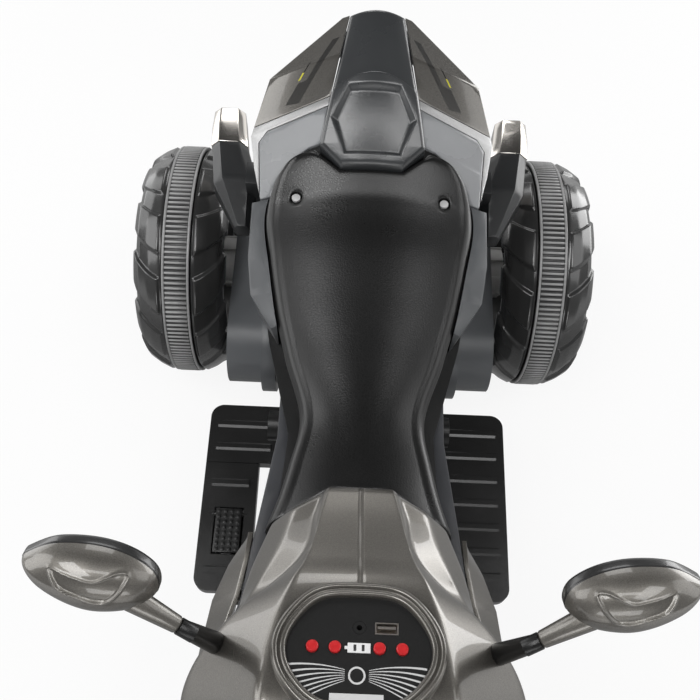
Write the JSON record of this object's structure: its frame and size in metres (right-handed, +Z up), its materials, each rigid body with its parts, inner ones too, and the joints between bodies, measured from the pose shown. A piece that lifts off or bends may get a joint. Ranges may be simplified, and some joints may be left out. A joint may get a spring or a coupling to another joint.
{
  "type": "kids electric ride-on motorbike",
  "caption": "Three-wheeled electric ride-on motorbike for a small child, with steering, rolling wheels, foot pedal, sound panel buttons and turning mirrors.",
  "frame": {"origin": "on the floor, midway between the axles on the centre plane", "axes": "+Z up, -Y to the front of the bike, +X to the rider's left"},
  "size_m": [0.5022, 0.95, 0.5443],
  "materials": {
    "gunmetal": "metallic gloss moulded colour",
    "silver": "silver moulded colour",
    "grey": "dark grey satin",
    "seat_black": "leather grain",
    "black": "fine moulded texture",
    "dash_black": "gloss black",
    "chrome": "plated",
    "tyre_black": "blow-moulded satin",
    "band": "matt rubber",
    "rim_black": "satin",
    "nylon": "natural nylon",
    "steel": "zinc plated",
    "fork_black": "satin black",
    "battery_case": "satin",
    "red": "gloss red",
    "gauge": "white window",
    "lens": "clear moulded",
    "mirror": "silvered"
  },
  "bodies": {
    "bike": {"tank_left": "gunmetal", "tank_right": "gunmetal", "lower_fairings": "gunmetal", "tail_fairing_left": "gunmetal", "tail_fairing_right": "gunmetal", "dash_ring": "gunmetal", "tail_trims": "silver", "seat_surround": "grey", "side_panels": "grey", "exhaust_bodies": "grey", "seat": "seat_black", "tail_centre": "seat_black", "chassis_left": "black", "chassis_right": "black", "side_rails": "black", "foot_rest_left": "black", "foot_rest_right": "black", "pedal_plate": "black", "pedal_switch": "black", "mirror_stalks": "black", "gearboxes": "black", "control_box": "black", "loudspeaker": "black", "dash_panel": "dash_black", "exhaust_tips": "chrome", "rear_axle": "steel", "axle_nuts": "steel", "seat_screws": "steel", "drive_motors": "steel", "sound_sockets": "steel", "battery": "battery_case", "gauge_window": "gauge"},
    "steering_assembly": {"fork": "fork_black", "steering_stem": "steel", "handlebar": "steel", "grips": "band", "mudguard": "black", "nose_cowl": "gunmetal", "headlight": "lens", "front_axle": "steel"},
    "front_wheel": {"front_tyre": "tyre_black", "front_tread_band": "band", "front_rim": "rim_black"},
    "rear_left_wheel": {"rear_left_tyre": "tyre_black", "rear_left_tread_band": "band", "rear_left_rim": "rim_black", "drive_hub_left": "nylon"},
    "rear_right_wheel": {"rear_right_tyre": "tyre_black", "rear_right_tread_band": "band", "rear_right_rim": "rim_black", "drive_hub_right": "nylon"},
    "accelerator": {"pedal": "black"},
    "volume_up": {"volume_up_button": "red"},
    "volume_down": {"volume_down_button": "red"},
    "play": {"play_button": "red"},
    "horn": {"horn_button": "red"},
    "mirror_left": {"mirror_shell_left": "gunmetal", "mirror_glass_left": "mirror"},
    "mirror_right": {"mirror_shell_right": "gunmetal", "mirror_glass_right": "mirror"}
  },
  "joints": [
    {"name": "steering", "type": "hinge", "parent": "bike", "child": "steering_assembly", "pos_m": [0, -0.34, 0.135], "axis": [0, 0.2588, 0.9659], "range_deg": [-20, 20]},
    {"name": "front_wheel_spin", "type": "hinge", "parent": "steering_assembly", "child": "front_wheel", "pos_m": [0, -0.34, 0.135], "axis": [1, 0, 0], "continuous": true},
    {"name": "rear_left_wheel_spin", "type": "hinge", "parent": "bike", "child": "rear_left_wheel", "pos_m": [-0.203, 0.34, 0.135], "axis": [1, 0, 0], "continuous": true},
    {"name": "rear_right_wheel_spin", "type": "hinge", "parent": "bike", "child": "rear_right_wheel", "pos_m": [0.203, 0.34, 0.135], "axis": [1, 0, 0], "continuous": true},
    {"name": "accelerator_press", "type": "hinge", "parent": "bike", "child": "accelerator", "pos_m": [-0.131, 0.022, 0.1475], "axis": [1, 0, 0], "range_deg": [0, 6], "stiffness_Nm_per_rad": 0.5},
    {"name": "volume_up_press", "type": "slide", "parent": "bike", "child": "volume_up", "axis": [0, -0.2756, -0.9613], "range_m": [0, 0.0015], "stiffness_N_per_m": 300},
    {"name": "volume_down_press", "type": "slide", "parent": "bike", "child": "volume_down", "axis": [0, -0.2756, -0.9613], "range_m": [0, 0.0015], "stiffness_N_per_m": 300},
    {"name": "play_press", "type": "slide", "parent": "bike", "child": "play", "axis": [0, -0.2756, -0.9613], "range_m": [0, 0.0015], "stiffness_N_per_m": 300},
    {"name": "horn_press", "type": "slide", "parent": "bike", "child": "horn", "axis": [0, -0.2756, -0.9613], "range_m": [0, 0.0015], "stiffness_N_per_m": 300},
    {"name": "mirror_left_turn", "type": "hinge", "parent": "bike", "child": "mirror_left", "pos_m": [-0.11243, -0.14616, 0.49928], "axis": [0.828, -0.3686, -0.4226], "range_deg": [-20, 20]},
    {"name": "mirror_right_turn", "type": "hinge", "parent": "bike", "child": "mirror_right", "pos_m": [0.11243, -0.14616, 0.49928], "axis": [-0.828, -0.3686, -0.4226], "range_deg": [-20, 20]}
  ]
}
